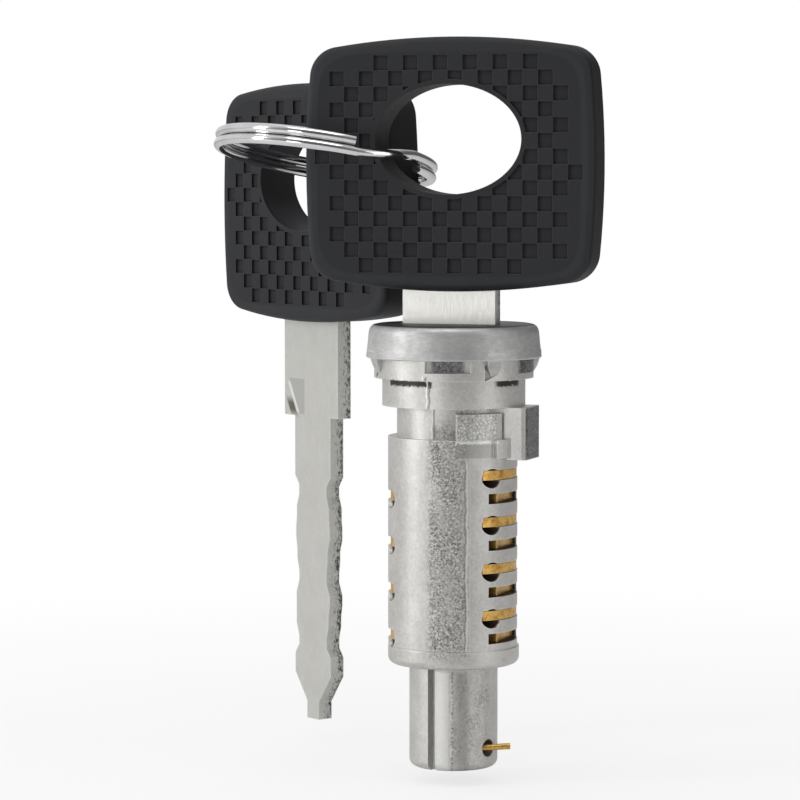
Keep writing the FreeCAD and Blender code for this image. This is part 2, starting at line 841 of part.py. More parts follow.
def split_ring():
    """The two-turn split ring through both bows."""
    path = Part.Wire(ring_path())
    start = path.Vertexes[0].Point
    circle = Part.Circle(start, XYZ(0, 1, 0), mm.loop_wire_radius)
    shape = path.makePipeShell([Part.Wire([circle.toShape()])], True, True)
    spin = FreeCAD.Rotation(UP, mm.loop_start_angle)
    lean = FreeCAD.Rotation(UP, XYZ(*RING_LEAN))
    place = FreeCAD.Placement(XYZ(mm.loop_x, mm.loop_y, key_heights()[0] + mm.loop_rise), lean * spin)
    return keep(shaped("ring_wire", shape, place), "split_ring")


def check_and_write():
    """Stops on a failed object or a bad shape, then writes each sub-part's file."""
    doc.recompute()
    for thing in doc.Objects:
        if "Invalid" in thing.State or "Error" in thing.State:
            raise RuntimeError(f"{thing.Label} failed: {thing.State}")
    for thing in made:
        shape = thing.Shape
        if shape.isNull() or not shape.isValid() or not shape.Solids:
            raise RuntimeError(f"{thing.Label} has no valid solid")
        print(thing.Label, len(shape.Solids), "solids", round(shape.Volume, 2), "mm3")
    os.makedirs("parts", exist_ok=True)
    for thing in made:
        thing.Shape.exportStep(f"parts/{thing.Label}.step")


cylinder_body()
face_cap()
for wafer_index in range(int(mm.wafer_count)):
    wafer(wafer_index)
    wafer_spring(wafer_index)
tail_clip()
key("key", FreeCAD.Placement())
split_ring()
spare_place = FreeCAD.Placement(
    XYZ(mm.spare_x, mm.spare_y, -mm.spare_drop), FreeCAD.Rotation(UP, mm.spare_turn_angle)
)
key("spare_key", spare_place)
check_and_write()
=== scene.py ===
"""Looks of a car door lock cylinder and its two keys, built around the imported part."""
import math

import bmesh
import bpy
from mathutils import Matrix, Vector


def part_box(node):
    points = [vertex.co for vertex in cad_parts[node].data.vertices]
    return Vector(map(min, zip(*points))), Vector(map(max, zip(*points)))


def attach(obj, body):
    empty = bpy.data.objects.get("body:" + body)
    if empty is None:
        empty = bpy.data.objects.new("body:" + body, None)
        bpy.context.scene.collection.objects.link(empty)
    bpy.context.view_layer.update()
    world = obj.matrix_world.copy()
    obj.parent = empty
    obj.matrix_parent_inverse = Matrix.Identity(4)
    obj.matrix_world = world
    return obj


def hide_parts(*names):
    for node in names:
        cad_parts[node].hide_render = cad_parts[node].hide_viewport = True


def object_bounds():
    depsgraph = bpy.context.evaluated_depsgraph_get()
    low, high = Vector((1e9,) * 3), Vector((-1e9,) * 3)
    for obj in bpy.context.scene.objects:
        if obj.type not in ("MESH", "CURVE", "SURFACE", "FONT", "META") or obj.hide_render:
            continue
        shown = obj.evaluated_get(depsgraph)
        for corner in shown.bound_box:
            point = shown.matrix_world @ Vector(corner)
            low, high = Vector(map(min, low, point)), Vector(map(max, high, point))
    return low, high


bl_info = {
    "name": "Door lock cylinder looks",
    "version": (1, 0, 0),
    "blender": (4, 2, 0),
    "location": "View3D > Sidebar > Lock",
    "description": "Dresses a car door's lock cylinder, its keys and their split ring",
    "category": "Object",
}

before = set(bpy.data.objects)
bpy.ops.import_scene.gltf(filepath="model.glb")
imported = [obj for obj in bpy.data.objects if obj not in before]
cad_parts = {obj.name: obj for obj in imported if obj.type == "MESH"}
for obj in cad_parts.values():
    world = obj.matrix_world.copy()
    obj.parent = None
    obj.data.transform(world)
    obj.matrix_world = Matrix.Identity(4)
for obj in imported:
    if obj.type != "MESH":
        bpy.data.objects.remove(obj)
cad_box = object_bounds()
MM = 0.001
MIDDLE = (-0.007, 0.002, 0.034)
# from the object towards the dark side of the room, and the room's greys along that line
FRONT = (0.30, -0.954, 0.0)
ROOM_SHADES = ((0.0, 0.75), (0.25, 0.62), (0.62, 0.30), (0.92, 0.12))
# a black flag behind and to the right, for the dark right edges
FLAG = (0.64, 0.77, 0.0)
FLAG_SHADES = ((0.45, 1.0), (0.85, 0.15))
FLOOR_SHADES = ((0.0, 0.72), (0.05, 0.80), (0.22, 1.0))
FLOOR_HALF = 3.0
FLOOR_GAP = 0.002
# the camera's place and aim in millimetres, its lens and its sensor
CAMERA_PLACE = (129.8, -410.0, 63.8)
CAMERA_AIM = (-6.6, -2.2, 34.1)
CAMERA_LENS = 150
SENSOR_WIDTH = 36
# name, then place, aim, width and height in metres, and power
LAMPS = (
    ("left_box", (-0.42, -0.28, 0.16), MIDDLE, 0.10, 0.45, 0.84),
    ("right_box", (0.46, -0.10, 0.14), MIDDLE, 0.16, 0.45, 0.32),
    ("top_box", (0.02, -0.16, 0.50), MIDDLE, 0.35, 0.22, 0.6),
    ("front_card", (-0.130, -0.410, 0.036), MIDDLE, 0.10, 0.16, 0.16),
)

# Lengths from here on are in millimetres, and angles in degrees unless they say radians.
# A band is a low end, a high end and the softness of both.

# the cap's wall as (radius, height) round its section, from the underside of its face
CAP_PROFILE = (
    (0.2, 43.4),
    (10.42, 43.4),
    (10.42, 39.75),
    (11.25, 39.7),
    (11.34, 39.8),
    (11.32, 40.1),
    (11.22, 40.8),
    (11.12, 41.6),
    (11.05, 42.5),
    (11.0, 42.95),
    (10.9, 43.35),
    (10.7, 43.68),
    (10.4, 43.9),
    (10.0, 44.0),
    (0.2, 44.0),
)
CAP_STEPS = 160
CAP_SLOT = ((-6.85, -1.35, 43.0), (6.15, 1.35, 44.6))
# the cap's face, which gets painted shade
CAP_FACE = (43.88, 45, 0.05)
CRIMPS = 5
CRIMP_FIRST = -43.7
CRIMP_PITCH = 360 / 5.5
CRIMP_THICK = 1.1
# front face of one crimp's tongue: radius, side and height of each corner
CRIMP_CORNERS = (
    (11.3, -1.15, 40.6),
    (11.05, -1.1, 39.6),
    (10.75, -0.8, 38.6),
    (9.95, 0.1, 37.15),
    (9.95, 0.35, 37.15),
    (10.75, 1.0, 38.6),
    (11.05, 1.1, 39.6),
    (11.3, 1.15, 40.6),
)
SHARP_ANGLE = 32

# patches of the casting's skin: a band of turn about the axis and a band of height
# the strip's darkness is partly its rough grain and partly painted shade
STRIP = ((-95, -61, 5), (1.5, 31.5, 1.2))
TAIL_GRIME = ((-82, -20, 4), (-14, -0.4, 0.2))
# a near-white band on the tail that is a painted highlight
TAIL_HIGHLIGHT = ((-96, -78, 3), (-14, -0.6, 0.2))
# a darker band beside it on the tail
TAIL_DARKER_BAND = ((-68, -54, 5), (-14, -0.6, 0.2))
NECK_PANEL = ((-71, -32, 0.8), (29.4, 33.6, 0.1))
UNDER_PANEL = ((-71, -40, 1), (27.2, 29.0, 0.1))
# the collar's right side, which gets painted shade
COLLAR_RIGHT_SHADE = ((-19, 30, 3), (37.9, 40.6, 0.1))
# the same for lines whose turn wanders
# painted shade and painted highlight beside the mould seam's step and on the strip's lip and
# crease
SEAM_SHADE = ((-93.2, -91.8, 0.5), (29.2, 37.6, 0.2))
SEAM_GLINT = ((-95.2, -93.9, 0.5), (29.2, 37.6, 0.2))
STRIP_LIP = ((-61.6, -60.2, 0.5), (2.2, 26.8, 0.3))
STRIP_CREASE = ((-63.4, -62.2, 0.5), (2.2, 26.8, 0.3))
# a jagged line of painted shade and highlight along the tail's rib
TAIL_RIB = ((-75.5, -72.5, 0.8), (-14, -0.6, 0.2))
# the same for lines whose height is ragged
# a painted shadow line under the collar's overhang, over the ring
LEFT_SHADOW_LINE = (-134, -90, 0.8)
RIGHT_SHADOW_LINE = (-37, -9, 2.5)
SHADOW_LINE_HEIGHT = (36.3, 37.08, 0.07)
# a painted highlight along the panel's ledge
PANEL_LEDGE = ((-71, -34, 0.8), (29.0, 29.35, 0.06))
# a band of radius, or of x for the arm, and a band of height
# where the window hollows and the collar's pockets get painted shade
IN_WINDOWS = ((0, 8.05, 0.12), (1.5, 27, 0.1))
IN_POCKET = ((9.2, 9.72, 0.08), (38.0, 40.6, 0.05))
# the arm's end, which gets painted shade
ARM_END = ((10.5, 14, 0.12), (26, 34.4, 0.1))
SEAM_WANDER = 5
LINE_RAGGEDNESS = 1.8

SPARE_TURN = math.radians(-34.5)
# node, finish, turn about the axis in radians, how metallic it looks and how bright, where the
# front blade's extra brightness is painted light
BLADES = (
    ("key_blade", "key_steel", 0.0, 0.6, 1.34),
    ("spare_key_blade", "spare_key_steel", SPARE_TURN, 0.4, 0.98),
)
# node, finish and turn about the axis in radians
BOWS = (
    ("key_bow", "bow_plastic", 0.0),
    ("spare_key_bow", "spare_bow_plastic", SPARE_TURN),
)
# height of the shank's foot above the blade's tip, and the stop pressed into it
SHANK_FOOT = 42.1
STOP_SLOPE = -0.5
STOP_START = -2.75
STOP_SIDE = -1.55
STOP_HEIGHT = 4.9
GRIP_HALF_WIDTH = 17.7
GRIP_HALF_HEIGHT = 14.3
GRIP_CORNER_POWER = 7
PIT_FLOOR = (2.3, 2.8, 0.05)
PIT_WALL = (2.62, 2.86, 0.02)

# shades of the casting's thin lines: a painted highlight, a white for rough specks and for a
# painted highlight, and a painted shade
PAINTED_HIGHLIGHT_LINE = (0.93, 0.93, 0.91)
WHITE_LINE = (0.95, 0.95, 0.93)
PAINTED_SHADE_LINE = (0.10, 0.10, 0.095)


class LockSizes(bpy.types.PropertyGroup):
    """Sizes of the details that are added to the solids."""

    # its paler band along sharp edges is partly wear and partly painted highlight
    edge_wear_and_highlight: bpy.props.FloatProperty(
        name="Edge wear",
        description="Width of the brighter band along worn edges",
        default=0.25 * MM,
        unit="LENGTH",
    )
    grain: bpy.props.FloatProperty(
        name="Casting grain",
        description="Size of the grains in the cast surface",
        default=0.45 * MM,
        unit="LENGTH",
    )


class LockColours(bpy.types.PropertyGroup):
    """Colours of the lock's finishes."""

    casting: bpy.props.FloatVectorProperty(
        name="Casting",
        description="Bare die-cast zinc",
        subtype="COLOR",
        default=(0.60, 0.59, 0.565),
        min=0,
        max=1,
    )
    cap: bpy.props.FloatVectorProperty(
        name="Cap",
        description="Satin pressed steel",
        subtype="COLOR",
        default=(0.66, 0.66, 0.655),
        min=0,
        max=1,
    )
    brass: bpy.props.FloatVectorProperty(
        name="Brass",
        description="Stamped brass of the wafers and the clip",
        subtype="COLOR",
        default=(0.86, 0.54, 0.15),
        min=0,
        max=1,
    )
    nickel: bpy.props.FloatVectorProperty(
        name="Blades",
        description="Nickel plate of the key blades",
        subtype="COLOR",
        default=(0.66, 0.655, 0.62),
        min=0,
        max=1,
    )
    bow: bpy.props.FloatVectorProperty(
        name="Bows",
        description="Black moulding of the key bows",
        subtype="COLOR",
        default=(0.013, 0.0135, 0.0155),
        min=0,
        max=1,
    )
    ring: bpy.props.FloatVectorProperty(
        name="Split ring",
        description="Polished plate of the split ring",
        subtype="COLOR",
        default=(0.80, 0.80, 0.81),
        min=0,
        max=1,
    )


class Nodes:
    """A material's node tree, with short calls for the nodes that the finishes share."""

    def __init__(self, name):
        self.material = bpy.data.materials.new(name)
        self.material.use_nodes = True
        self.tree = self.material.node_tree
        self.shader = self.tree.nodes["Principled BSDF"]
        coordinates = self.add("ShaderNodeTexCoord")
        self.place = coordinates.outputs["Object"]
        self.normal = coordinates.outputs["Normal"]

    def add(self, kind, **values):
        """A new node with its settings."""
        node = self.tree.nodes.new(kind)
        for key, value in values.items():
            setattr(node, key, value)
        return node

    def link(self, source, target):
        """Joins an output to an input."""
        self.tree.links.new(source, target)

    def stretched(self, scale):
        """Object coordinates with a scale of their own for each axis."""
        mapping = self.add("ShaderNodeMapping")
        mapping.inputs["Scale"].default_value = scale
        self.link(self.place, mapping.inputs["Vector"])
        return mapping.outputs["Vector"]

    def noise(self, size, detail=4, rough=0.55, vector=None):
        """Noise whose features are about one size, in metres."""
        node = self.add("ShaderNodeTexNoise")
        node.inputs["Scale"].default_value = 1 / size
        node.inputs["Detail"].default_value = detail
        node.inputs["Roughness"].default_value = rough
        self.link(vector or self.place, node.inputs["Vector"])
        return node.outputs["Fac"]

    def ramp(self, value, stops):
        """A ramp over (position, grey or colour) stops."""
        node = self.add("ShaderNodeValToRGB")
        ramp = node.color_ramp
        while len(ramp.elements) < len(stops):
            ramp.elements.new(0.5)
        for element, (position, colour) in zip(ramp.elements, stops):
            element.position = position
            shade = (colour,) * 3 if isinstance(colour, (int, float)) else tuple(colour)
            element.color = shade + (1.0,)
        self.link(value, node.inputs["Fac"])
        return node.outputs["Color"]

    def mix(self, factor, low, high):
        """A blend of two colours, each a socket or a colour."""
        node = self.add("ShaderNodeMix", data_type="RGBA")
        for value, socket in ((factor, 0), (low, 6), (high, 7)):
            if hasattr(value, "links"):
                self.link(value, node.inputs[socket])
            elif socket:
                node.inputs[socket].default_value = tuple(value) + (1.0,)
            else:
                node.inputs[socket].default_value = value
        return node.outputs[2]

    def maths(self, operation, *values):
        """One Math node over sockets and numbers."""
        node = self.add("ShaderNodeMath", operation=operation)
        for value, socket in zip(values, node.inputs):
            if hasattr(value, "links"):
                self.link(value, socket)
            else:
                socket.default_value = value
        return node.outputs[0]

    def axes(self, vector=None):
        """The x, y and z of a vector, in millimetres."""
        node = self.add("ShaderNodeSeparateXYZ")
        self.link(vector or self.place, node.inputs[0])
        return [self.maths("DIVIDE", axis, MM) for axis in node.outputs]

    def azimuth(self):
        """Angle about the lock's axis, in degrees from +X."""
        x, y, _ = self.axes()
        return self.maths("MULTIPLY", self.maths("ARCTAN2", y, x), 180 / math.pi)

    def between(self, value, low, high, soft):
        """1 between two values and 0 outside, with soft ends."""
        sides = []
        for start, end in ((low - soft, low + soft), (high + soft, high - soft)):
            node = self.add("ShaderNodeMapRange", interpolation_type="SMOOTHSTEP")
            self.link(value, node.inputs["Value"])
            flipped = start > end
            node.inputs["From Min"].default_value = min(start, end)
            node.inputs["From Max"].default_value = max(start, end)
            node.inputs["To Min"].default_value = float(flipped)
            node.inputs["To Max"].default_value = float(not flipped)
            sides.append(node.outputs["Result"])
        return self.maths("MULTIPLY", *sides)

    def all_of(self, *masks):
        """The product of masks."""
        whole = masks[0]
        for mask in masks[1:]:
            whole = self.maths("MULTIPLY", whole, mask)
        return whole

    def patch(self, first, second, bands):
        """1 where two values lie in their bands."""
        return self.all_of(self.between(first, *bands[0]), self.between(second, *bands[1]))

    def lay(self, tone, colour, mask, share=1.0):
        """A colour laid over a tone, where a mask lets it and by a share."""
        factor = mask if share == 1.0 else self.maths("MULTIPLY", mask, share)
        return self.mix(factor, tone, colour)

    def facing(self, turn):
        """How far the surface faces a turn about +Z, from -1 to 1."""
        dot = self.add("ShaderNodeVectorMath", operation="DOT_PRODUCT")
        self.link(self.normal, dot.inputs[0])
        dot.inputs[1].default_value = (math.cos(turn), math.sin(turn), 0)
        return dot.outputs["Value"]

    def own_axes(self, centre, turn):
        """The x, y and z of a piece that stands turned about +Z, in millimetres."""
        own = self.add("ShaderNodeMapping", vector_type="TEXTURE")
        own.inputs["Location"].default_value = centre
        own.inputs["Rotation"].default_value = (0, 0, turn)
        self.link(self.place, own.inputs["Vector"])
        return self.axes(own.outputs["Vector"])

    def edges(self, width):
        """1 on sharp outer edges and 0 elsewhere, from a bevel's turn of the normal."""
        bevel = self.add("ShaderNodeBevel", samples=4)
        bevel.inputs["Radius"].default_value = width
        geometry = self.add("ShaderNodeNewGeometry")
        dot = self.add("ShaderNodeVectorMath", operation="DOT_PRODUCT")
        self.link(bevel.outputs["Normal"], dot.inputs[0])
        self.link(geometry.outputs["Normal"], dot.inputs[1])
        return self.ramp(dot.outputs["Value"], [(0.80, 1.0), (0.995, 0.0)])

    def bump(self, height, distance, strength=1.0, edge=None):
        """Bump over an optional rounding of the sharp edges."""
        node = self.add("ShaderNodeBump")
        node.inputs["Strength"].default_value = strength
        node.inputs["Distance"].default_value = distance
        self.link(height, node.inputs["Height"])
        if edge:
            bevel = self.add("ShaderNodeBevel", samples=4)
            bevel.inputs["Radius"].default_value = edge
            self.link(bevel.outputs["Normal"], node.inputs["Normal"])
        self.link(node.outputs["Normal"], self.shader.inputs["Normal"])

    def finish(self, colour, rough, metallic):
        """Sets the shader's colour, roughness and metal, and gives the material."""
        self.link(colour, self.shader.inputs["Base Color"])
        self.link(rough, self.shader.inputs["Roughness"])
        self.shader.inputs["Metallic"].default_value = metallic
        return self.material


def scaled(colour, share):
    """A colour made darker or lighter by one factor."""
    return tuple(min(1.0, channel * share) for channel in colour)


def casting_relief(nodes, grains, coarse, strip, lines):
    """Fine grains, a coarser strip and raised seam lines."""
    relief = nodes.maths("ADD", grains, nodes.maths("MULTIPLY", nodes.all_of(coarse, strip), 1.6))
    relief = nodes.maths("ADD", relief, nodes.maths("MULTIPLY", lines, 1.5))
    nodes.bump(relief, 0.06 * MM, 0.6, 0.12 * MM)


def casting_finish(colours, sizes):
    """Bare die-cast zinc: fine grains, a rough darker strip beside the windows that is partly
    painted shade, paler edges that are partly painted highlight, and painted shade and highlight
    in its hollows, on its right side and along its lines.
    """
    nodes = Nodes("zinc_casting")
    base = tuple(colours.casting)
    x, y, height = nodes.axes()
    turn = nodes.azimuth()
    square = nodes.maths("ADD", nodes.maths("POWER", x, 2), nodes.maths("POWER", y, 2))
    radius = nodes.maths("SQRT", square)
    grains = nodes.noise(sizes.grain, 6, 0.7)
    coarse = nodes.noise(0.30 * MM, 5, 0.8)
    broad = nodes.noise(5 * MM, 3)
    smudge = nodes.noise(2.2 * MM, 4, 0.65, nodes.stretched((1.0, 1.0, 0.45)))
    shift = nodes.maths("MULTIPLY", nodes.maths("SUBTRACT", coarse, 0.5), LINE_RAGGEDNESS)
    ragged = nodes.maths("ADD", height, shift)
    wander = nodes.maths("SUBTRACT", nodes.noise(1.6 * MM, 2), 0.5)
    seam_turn = nodes.maths("ADD", turn, nodes.maths("MULTIPLY", wander, SEAM_WANDER))

    # plain skin
    cloud = nodes.ramp(broad, [(0.35, 0.0), (0.65, 1.0)])
    tone = nodes.mix(cloud, scaled(base, 0.90), scaled(base, 1.18))
    speckled = [(0.33, scaled(base, 0.72)), (0.50, base), (0.68, scaled(base, 1.30))]
    tone = nodes.mix(0.45, tone, nodes.ramp(grains, speckled))

    # rough strip beside the windows, darker partly from its grain and partly as painted shade
    pitted = [(0.41, scaled(base, 0.10)), (0.50, scaled(base, 0.62)), (0.60, scaled(base, 1.35))]
    dark = nodes.ramp(coarse, pitted)
    blotches = nodes.ramp(smudge, [(0.28, 0.35), (0.55, 1.0)])
    strip = nodes.all_of(nodes.patch(turn, height, STRIP), blotches)
    tone = nodes.lay(tone, dark, strip, 0.8)

    # tail: blotches of grime, a painted highlight band, and a darker band beside it
    blotches = nodes.ramp(smudge, [(0.42, 0.0), (0.62, 0.5)])
    tone = nodes.lay(tone, dark, nodes.all_of(nodes.patch(turn, height, TAIL_GRIME), blotches))
    tone = nodes.lay(tone, (0.92, 0.92, 0.90), nodes.patch(turn, height, TAIL_HIGHLIGHT), 0.6)
    tone = nodes.lay(tone, scaled(base, 0.45), nodes.patch(turn, height, TAIL_DARKER_BAND), 0.45)

    # painted shade in the hollows of the windows and of the collar's pockets
    tone = nodes.lay(tone, (0.035, 0.028, 0.02), nodes.patch(radius, height, IN_WINDOWS), 0.9)
    tone = nodes.lay(
        tone,
        nodes.ramp(coarse, [(0.36, 0.03), (0.62, 0.42)]),
        nodes.patch(radius, height, IN_POCKET),
    )

    # painted shadow under the collar's overhang: a dark line over the ring, with a ragged edge
    turns = nodes.maths("ADD", nodes.between(turn, *LEFT_SHADOW_LINE), nodes.between(turn, *RIGHT_SHADOW_LINE))
    slit_shadow = nodes.all_of(turns, nodes.between(ragged, *SHADOW_LINE_HEIGHT))
    tone = nodes.lay(tone, (0.02, 0.02, 0.018), slit_shadow, 0.96)

    # painted shade and painted highlight beside the mould seam's step, and on the lip and crease
    # of the strip
    glint = nodes.patch(seam_turn, height, SEAM_GLINT)
    tone = nodes.lay(tone, PAINTED_SHADE_LINE, nodes.patch(seam_turn, height, SEAM_SHADE), 0.7)
    tone = nodes.lay(tone, PAINTED_HIGHLIGHT_LINE, glint, 0.7)
    tone = nodes.lay(tone, PAINTED_HIGHLIGHT_LINE, nodes.patch(seam_turn, height, STRIP_LIP), 0.55)
    tone = nodes.lay(tone, PAINTED_SHADE_LINE, nodes.patch(seam_turn, height, STRIP_CREASE), 0.45)

    # rough panel at the neck, a painted highlight along its ledge and painted shade under it
    specks = nodes.ramp(coarse, [(0.40, scaled(base, 0.5)), (0.52, base), (0.60, WHITE_LINE)])
    tone = nodes.lay(tone, specks, nodes.patch(turn, height, NECK_PANEL), 0.85)
    tone = nodes.lay(tone, WHITE_LINE, nodes.patch(turn, ragged, PANEL_LEDGE), 0.85)
    tone = nodes.lay(tone, scaled(base, 0.5), nodes.patch(turn, height, UNDER_PANEL), 0.5)

    # painted shade, speckled, on the rough end of the arm and on the collar's right side
    shaded = nodes.maths(
        "MAXIMUM", nodes.patch(x, height, ARM_END), nodes.patch(turn, height, COLLAR_RIGHT_SHADE)
    )
    tone = nodes.lay(tone, nodes.ramp(coarse, [(0.42, 0.02), (0.62, 0.34)]), shaded, 0.96)

    # a jagged line of painted shade and highlight along the tail's rib
    rib = nodes.patch(seam_turn, height, TAIL_RIB)
    tone = nodes.lay(tone, nodes.ramp(coarse, [(0.42, 0.08), (0.58, 0.9)]), rib, 0.55)
    # paler sharp edges, partly wear and partly painted highlight
    tone = nodes.lay(tone, (0.86, 0.855, 0.83), nodes.edges(sizes.edge_wear_and_highlight))
    smooth = nodes.ramp(grains, [(0.3, 0.33), (0.7, 0.45)])
    rough = nodes.mix(strip, smooth, (0.55, 0.55, 0.55))
    casting_relief(nodes, grains, coarse, strip, nodes.maths("ADD", glint, rib))
    return nodes.finish(tone, rough, 0.72)


def cap_finish(colours, sizes):
    """Satin steel, a little stained, with painted shade on its face and a brighter turned edge
    that is partly painted highlight.
    """
    nodes = Nodes("cap_steel")
    base = scaled(colours.cap, 0.9)
    _, _, height = nodes.axes()
    lines = nodes.noise(0.35 * MM, 5, 0.6, nodes.stretched((0.35, 0.35, 1.3)))
    broad = nodes.noise(3.5 * MM, 4, 0.6)
    specks = nodes.noise(0.3 * MM, 3, 0.6)
    turned = nodes.ramp(lines, [(0.35, 0.0), (0.65, 1.0)])
    tone = nodes.mix(turned, scaled(base, 0.86), scaled(base, 1.06))
    tone = nodes.lay(tone, scaled(base, 0.62), nodes.ramp(broad, [(0.42, 0.0), (0.66, 0.6)]))
    tone = nodes.lay(tone, scaled(base, 0.3), nodes.ramp(specks, [(0.68, 0.0), (0.76, 0.7)]))
    # painted shade on the cap's face
    tone = nodes.lay(tone, scaled(base, 0.14), nodes.between(height, *CAP_FACE))
    # paler turned edge, partly wear and partly painted highlight
    tone = nodes.lay(tone, (0.86, 0.86, 0.85), nodes.edges(sizes.edge_wear_and_highlight))
    rough = nodes.ramp(broad, [(0.3, 0.42), (0.7, 0.56)])
    nodes.bump(lines, 0.02 * MM, 0.4, 0.1 * MM)
    return nodes.finish(tone, rough, 0.75)


def brass_finish(colours, name):
    """Stamped brass with redder stains and darker grains."""
    nodes = Nodes(name)
    base = tuple(colours.brass)
    grain = nodes.noise(0.3 * MM, 5, 0.65)
    stain = nodes.noise(0.9 * MM, 3)
    stained = nodes.ramp(stain, [(0.42, 0.0), (0.70, 1.0)])
    tone = nodes.mix(stained, scaled(base, 1.05), (0.48, 0.16, 0.02))
    tone = nodes.lay(tone, scaled(base, 0.55), nodes.ramp(grain, [(0.35, 0.5), (0.65, 0.0)]))
    # painted highlight along the brass edges
    tone = nodes.lay(tone, (1.0, 0.80, 0.42), nodes.edges(0.12 * MM))
    rough = nodes.ramp(grain, [(0.3, 0.24), (0.7, 0.4)])
    nodes.bump(grain, 0.02 * MM, 0.5, 0.06 * MM)
    return nodes.finish(tone, rough, 0.8)


def spring_finish():
    """Drawn spring wire."""
    nodes = Nodes("spring_steel")
    grain = nodes.noise(0.2 * MM, 3)
    tone = nodes.ramp(grain, [(0.3, (0.30, 0.30, 0.31)), (0.7, (0.62, 0.62, 0.63))])
    rough = nodes.ramp(grain, [(0.3, 0.25), (0.7, 0.4)])
    nodes.bump(grain, 0.01 * MM, 0.3)
    return nodes.finish(tone, rough, 0.95)


def pressed_stop(nodes, tone, base, across, depth, up):
    """The small triangular stop pressed into the near face of the shank's foot, drawn as painted
    shade and painted highlight.
    """
    edge = nodes.maths("ADD", nodes.maths("MULTIPLY", up, STOP_SLOPE), STOP_START)
    beside = nodes.maths("SUBTRACT", across, edge)
    near_face = nodes.between(depth, -3, 0, 0.1)
    field = nodes.all_of(
        nodes.between(beside, 0.0, 9, 0.1),
        nodes.between(across, -9, STOP_SIDE, 0.1),
        near_face,
        nodes.between(up, 0, STOP_HEIGHT, 0.1),
    )
    # painted shade over the pressed field
    tone = nodes.lay(tone, scaled(base, 0.70), field, 0.8)
    foot = nodes.between(up, 0.0, 2.0, 0.7)
    hollow = nodes.all_of(nodes.between(beside, -2.0, -0.3, 0.25), foot, near_face)
    # deeper painted shade in the hollow beside the stop's edge
    tone = nodes.lay(tone, (0.09, 0.08, 0.045), hollow, 0.9)
    length = nodes.between(up, 0.2, 4.4, 0.3)
    ridge = nodes.all_of(nodes.between(beside, -0.55, 0.05, 0.15), length, near_face)
    # painted highlight along the stop's ridge
    return nodes.lay(tone, (0.95, 0.95, 0.92), ridge, 0.7)


def sheared_side(nodes, plain, depth):
    """The shorn side of a blade, dark and torn towards its far edge."""
    shear = nodes.noise(0.34 * MM, 4, 0.75, nodes.stretched((1.0, 1.0, 0.6)))
    bias = nodes.maths("ADD", shear, nodes.maths("MULTIPLY", depth, -0.13))
    torn = [(0.34, (0.04, 0.04, 0.035)), (0.40, scaled(plain, 0.55)), (0.52, scaled(plain, 0.9))]
    return nodes.ramp(bias, torn)


def nickel_finish(colours, name, node, turn, metallic, bright):
    """Nickel-plated steel, brushed along the blade, with sheared sides and a pressed stop."""
    nodes = Nodes(name)
    plain = tuple(colours.nickel)
    # the brightness factor is painted light, making one blade lighter than the other
    base = scaled(plain, bright)
    low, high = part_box(node)
    foot = ((low.x + high.x) / 2, (low.y + high.y) / 2, low.z + SHANK_FOOT * MM)
    across, depth, up = nodes.own_axes(foot, turn)
    brushed = nodes.noise(0.22 * MM, 6, 0.6, nodes.stretched((1.0, 1.0, 0.12)))
    mottle = nodes.noise(3.2 * MM, 4, 0.6)
    fine = nodes.noise(0.16 * MM, 3, 0.6)
    lines = nodes.ramp(brushed, [(0.35, 0.0), (0.65, 1.0)])
    tone = nodes.mix(lines, scaled(base, 0.95), scaled(base, 1.04))
    tone = nodes.lay(tone, scaled(base, 0.84), nodes.ramp(mottle, [(0.45, 0.0), (0.7, 0.35)]))
    tone = nodes.lay(tone, scaled(base, 0.8), nodes.ramp(fine, [(0.4, 0.35), (0.6, 0.0)]))
    tone = pressed_stop(nodes, tone, base, across, depth, up)
    side = nodes.between(nodes.maths("ABSOLUTE", nodes.facing(turn)), 0.75, 2, 0.05)
    tone = nodes.lay(tone, sheared_side(nodes, plain, depth), side)
    # painted highlight along the blade's edges
    tone = nodes.lay(tone, (0.93, 0.93, 0.90), nodes.edges(0.22 * MM))
    rough = nodes.ramp(brushed, [(0.3, 0.32), (0.7, 0.42)])
    nodes.bump(brushed, 0.01 * MM, 0.4, 0.1 * MM)
    return nodes.finish(tone, rough, metallic)


def grip_region(nodes, across, up):
    """1 inside the squared grip's rounded outline on a bow."""
    width = nodes.maths("ABSOLUTE", nodes.maths("DIVIDE", across, GRIP_HALF_WIDTH))
    height = nodes.maths("ABSOLUTE", nodes.maths("DIVIDE", up, GRIP_HALF_HEIGHT))
    reach = nodes.maths(
        "ADD",
        nodes.maths("POWER", width, GRIP_CORNER_POWER),
        nodes.maths("POWER", height, GRIP_CORNER_POWER),
    )
    return nodes.between(reach, -1, 1, 0.08)


